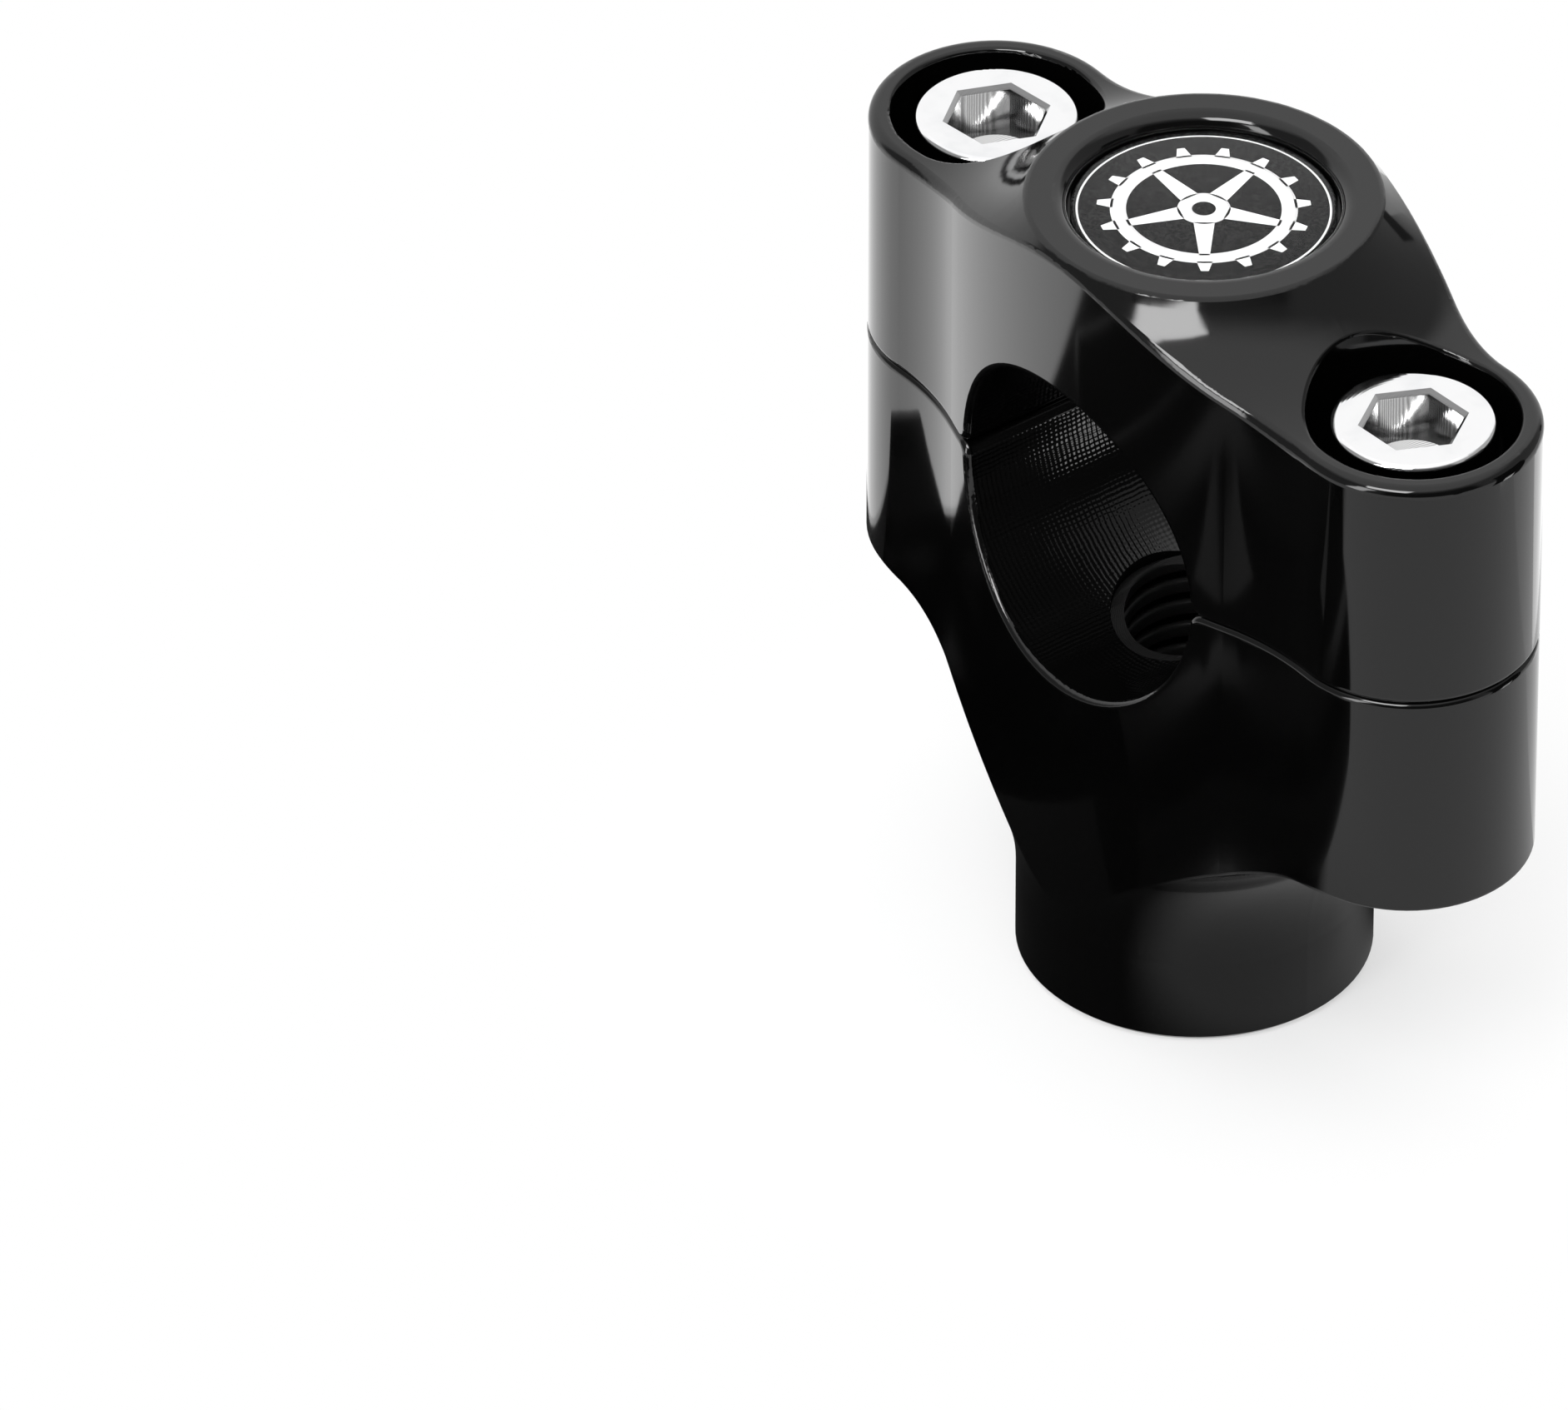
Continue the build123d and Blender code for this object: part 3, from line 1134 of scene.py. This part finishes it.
@dataclass
class TableCard:
    """A card that lies on the table or just over it, seen only in the part's gloss.

    Its corners are in millimetres from the foot's centre.
    """

    name: str
    glow: Glow
    corners: Outline
    level: float = 0.4 * MM

    def build(self) -> Piece:
        """Lay the card down.

        Returns:
            The card, out of the camera's sight.
        """
        card = mesh_object(self.name, [(x * MM, y * MM, self.level) for x, y in self.corners],
                           [tuple(range(len(self.corners)))])
        dress(card, self.glow.material())
        mirror_only(card)
        return card


@dataclass
class StandingCard:
    """A narrow card that stands on the table beside the part, seen only in its gloss."""

    name: str
    glow: Glow
    azimuth: float
    away: float
    width: float
    height: float

    def build(self) -> Piece:
        """Stand the card up, facing the part.

        Returns:
            The card, out of the camera's sight.
        """
        middle = heading(self.azimuth, 0) * self.away
        side = heading(self.azimuth + 90, 0) * self.width / 2
        top = Vector((0.0, 0.0, self.height))
        corners = [middle - side, middle + side, middle + side + top, middle - side + top]
        card = mesh_object(self.name, corners, [(0, 1, 2, 3)])
        dress(card, self.glow.material())
        mirror_only(card)
        return card


@dataclass
class DarkFlag:
    """A black flag on the table in front of the part: a lying roll through a round-ended slab."""

    start: Vector = field(default_factory=lambda: Vector((6.4 * MM, -67 * MM, 13.1 * MM)))
    azimuth: float = 127.9
    length: float = 65.5 * MM
    roll_radius: float = 12.9 * MM
    slab_from: float = 5.7 * MM
    slab_to: float = 39.5 * MM
    slab_offset: float = 21.0 * MM
    slab_radius: float = 9.25 * MM
    steps: int = 48
    smooth_angle: float = 30.0

    def prism(self, name: str, outline: Outline, low: float, high: float) -> None:
        """Draw an upright outline out along the flag's direction.

        Args:
            name: the piece's name.
            outline: points across the flag and up, in metres from its axis.
            low: where the prism starts along the axis.
            high: where it ends.
        """
        along = heading(self.azimuth, 0)
        across = Vector((along.y, -along.x, 0.0))
        count = len(outline)
        points = [self.start + along * end + across * side + Vector((0, 0, up))
                  for end in (low, high) for side, up in outline]
        faces = [tuple(range(count)), tuple(reversed(range(count, 2 * count)))]
        faces += [(i, count + i, count + (i + 1) % count, (i + 1) % count) for i in range(count)]
        piece = mesh_object(name, points, faces)
        dress(piece, DarkGloss(name + "_gloss").material())
        shade_smooth(piece, self.smooth_angle)
        mirror_only(piece)

    def build(self) -> None:
        """Lay both pieces of the flag down."""
        turns = [FULL_TURN * step / self.steps for step in range(self.steps)]
        roll = [(self.roll_radius * math.cos(turn), self.roll_radius * math.sin(turn)) for turn in turns]
        slab = [(math.copysign(self.slab_offset, math.cos(turn)) + self.slab_radius * math.cos(turn),
                 self.slab_radius * math.sin(turn)) for turn in turns]
        self.prism("flag_roll", roll, 0.0, self.length)
        self.prism("flag_slab", slab, self.slab_from, self.slab_to)


@dataclass(frozen=True)
class Sector:
    """The directions within half an angle of an azimuth, with a soft edge, all in degrees."""

    azimuth: float
    half: float
    soft: float

    def mask(self, board: Board, x: Socket, y: Socket, level: Socket) -> Socket:
        """A mask for the sector.

        Args:
            board: the world's board.
            x: the direction's X.
            y: its Y.
            level: the length of both, and never 0.

        Returns:
            1 inside the sector and 0 outside it.
        """
        towards = heading(self.azimuth, 0)
        reach = board.math("ADD", board.product(x, towards.x), board.product(y, towards.y))
        return board.ramp(board.math("DIVIDE", reach, level), math.cos(math.radians(self.half + self.soft)),
                          math.cos(math.radians(self.half - self.soft)))


@dataclass
class Room:
    """The room round the table, brighter behind the part and overhead, and dark in front of it."""

    ceiling: float = 1.1
    behind: float = 1.0
    right: float = 0.37
    left: float = 0.28
    front: float = 0.07
    right_sector: Sector = Sector(62, 43, 8)
    front_sector: Sector = Sector(-24, 40, 5)
    rear_sector: Sector = Sector(157, 52, 7)
    front_fade: tuple[float, float] = (46, 32)
    ceiling_fade: tuple[float, float] = (44, 66)

    def build(self) -> None:
        """Give the world its light by direction, and plain white where the camera looks past the table."""
        world = bpy.data.worlds.new("room")
        world.use_nodes = True
        bpy.context.scene.world = world
        board = Board(world.node_tree)
        way = board.add("ShaderNodeTexCoord").outputs["Generated"]
        x, y, z = board.add("ShaderNodeSeparateXYZ", in0=way).outputs
        level = board.math("MAXIMUM", board.length(x, y), 0.001)
        in_front, behind, beside = (sector.mask(board, x, y, level) for sector in
                                    (self.front_sector, self.rear_sector, self.right_sector))
        below, above = (board.ramp(z, *(math.sin(math.radians(end)) for end in fade))
                        for fade in (self.front_fade, self.ceiling_fade))
        light = board.mix(beside, self.left, self.right)
        light = board.mix(board.product(in_front, below), light, self.front)
        light = board.mix(behind, light, self.behind)
        light = board.mix(above, light, self.ceiling)
        seen = board.add("ShaderNodeLightPath").outputs["Is Camera Ray"]
        shade = board.add("ShaderNodeBackground", Color=grey(1.0), Strength=board.mix(seen, light, 1.0))
        board.add("ShaderNodeOutputWorld", Surface=shade.outputs[0])


@dataclass
class Studio:
    """The table, the room, the softboxes and the cards round the part."""

    table_size: float = 4.0

    def table(self) -> Piece:
        """Lay the table just under the part's foot.

        Returns:
            The table.
        """
        half = self.table_size / 2
        corners = [(-half, -half, 0), (half, -half, 0), (half, half, 0), (-half, half, 0)]
        made = mesh_object("table", corners, [(0, 1, 2, 3)])
        dress(made, TablePaper().material())
        return made

    def cards(self) -> list[StudioCard | TableCard | StandingCard | DarkFlag]:
        """The softboxes overhead and at the sides, and the cards beside the part.

        Returns:
            Each of them, ready to build.
        """
        return [
            StudioCard("key_softbox", Glow("key_glow", 12.0, Spread.HOT, 0.8),
                       azimuth=-62, elevation=52, width=31, height=20),
            StudioCard("left_strip", Glow("left_glow", 6.5, Spread.HOT, 0.6),
                       azimuth=-83, elevation=10, width=17, height=60, lean=-14),
            StandingCard("rear_flag", Glow("rear_flag_glow", 0.04),
                         azimuth=37.0, away=112 * MM, width=54 * MM, height=100 * MM),
            StandingCard("glint_card", Glow("glint_card_glow", 3.8),
                         azimuth=36.5, away=108 * MM, width=16 * MM, height=28 * MM),
            StudioCard("overhead_fill", Glow("fill_glow", 2.0),
                       azimuth=0, elevation=90, width=62, height=62, mirrored=False),
            StudioCard("small_card", Glow("small_card_glow", 0.08),
                       azimuth=97, elevation=5, width=5, height=14, lights=False),
            TableCard("bright_card", Glow("bright_card_glow", 1.6),
                      [(-62, 60), (-220, 60), (-220, -160), (-62, -160)]),
            TableCard("rear_card", Glow("rear_card_glow", 1.8),
                      [(-60, 60), (20, 60), (30, 160), (-120, 160)]),
            # painted shadow: the table as the gloss sees it, darker near the part and left of it
            TableCard("shadowed_floor_card", Glow("shadowed_floor_glow", 0.85, Spread.SHADED),
                      [(-61, -120), (120, -120), (120, 90), (34, 60), (6, 22), (-61, 22)]),
            # painted highlight: a faint glowing patch on top of the flag's roll, seen in the part's front
            # wall
            TableCard("flag_highlight_card", Glow("flag_highlight_glow", 0.17),
                      [(4.6, -53), (10.6, -33), (6.0, -35)], level=26.4 * MM),
            DarkFlag(),
        ]

    def build(self) -> None:
        """Set everything up."""
        self.table()
        Room().build()
        for card in self.cards():
            card.build()
        log.info("set up the studio")


@dataclass
class Photographer:
    """The long lens that looks down on the part from its front right."""

    azimuth: float = 52.3
    elevation: float = 36.25
    roll: float = 0.03
    right_shift: float = 29.78 * MM
    up_shift: float = 16.63 * MM
    distance: float = 1721.7 * MM
    lens: float = 544.7
    sensor: float = 36.0
    nearest: float = 0.05
    furthest: float = 20.0

    def build(self) -> Piece:
        """Place the camera and make it the scene's own.

        Returns:
            The camera.
        """
        turn, rise = math.radians(self.azimuth), math.radians(self.elevation)
        back = Vector((math.sin(turn) * math.cos(rise), -math.cos(turn) * math.cos(rise), math.sin(rise)))
        right = Vector((math.cos(turn), math.sin(turn), 0.0))
        up = back.cross(right)
        data = bpy.data.cameras.new("long_lens")
        data.lens = self.lens
        data.sensor_width = self.sensor
        data.clip_start, data.clip_end = self.nearest, self.furthest
        camera = bpy.data.objects.new("long_lens", data)
        bpy.context.scene.collection.objects.link(camera)
        place = back * self.distance + up * self.up_shift - right * self.right_shift
        axes = Matrix((right, up, back)).transposed().to_4x4()
        camera.matrix_world = (Matrix.Translation(place) @ axes
                               @ Matrix.Rotation(math.radians(self.roll), 4, "Z"))
        bpy.context.scene.camera = camera
        return camera


@dataclass
class Riser:
    """The part itself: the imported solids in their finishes, and the pieces that finish them."""

    nodes: dict[str, Piece]
    bar_radius: float = 12.7 * MM
    bar_height: float = 41.2 * MM
    stud_radius: float = 6.35 * MM

    def dress_metal(self) -> None:
        """Give the body, the cap and the screws their finishes."""
        black = GlossAnodising("black_anodising", self.bar_radius, self.bar_height,
                               self.stud_radius).material()
        for name in ("riser_body", "clamp_cap"):
            dress(self.nodes[name], black)
            log.info("dressed %s", name)
        for side in ("left", "right"):
            name = "cap_screw_" + side
            low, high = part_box(name)
            dress(self.nodes[name], Chrome("chrome_" + side, (low.x + high.x) / 2, high.z).material())
            log.info("dressed %s", name)

    def dress_badge(self) -> None:
        """Give the badge its ground, its pad, its print and its dome."""
        dress(self.nodes["badge_disc"], CharcoalPrint("charcoal_ground").material())
        log.info("dressed badge_disc")
        dress(self.nodes["badge_pad"], FoamTape("foam_tape").material())
        log.info("dressed badge_pad")
        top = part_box("badge_disc")[1].z
        log.info("made %s", BadgePrint(WhiteInk("white_ink"), top).build().name)
        low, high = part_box("badge_dome")
        log.info("made %s", ResinDome(ClearResin("clear_resin"), low, high).build().name)

    def build(self) -> None:
        """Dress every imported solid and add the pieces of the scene."""
        self.dress_metal()
        self.dress_badge()
        thread = StudThread(CutThread("cut_thread"), self.bar_radius, self.bar_height, self.stud_radius)
        log.info("made %s", thread.build().name)


def main() -> None:
    """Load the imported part, dress it, and set up the studio round it."""
    logging.basicConfig(level=logging.INFO, format="%(name)s: %(message)s")
    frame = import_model()
    bpy.context.scene.view_settings.view_transform = "Standard"
    Riser(frame["nodes"]).build()
    Studio().build()
    Photographer().build()


if __name__ == "__main__":
    main()
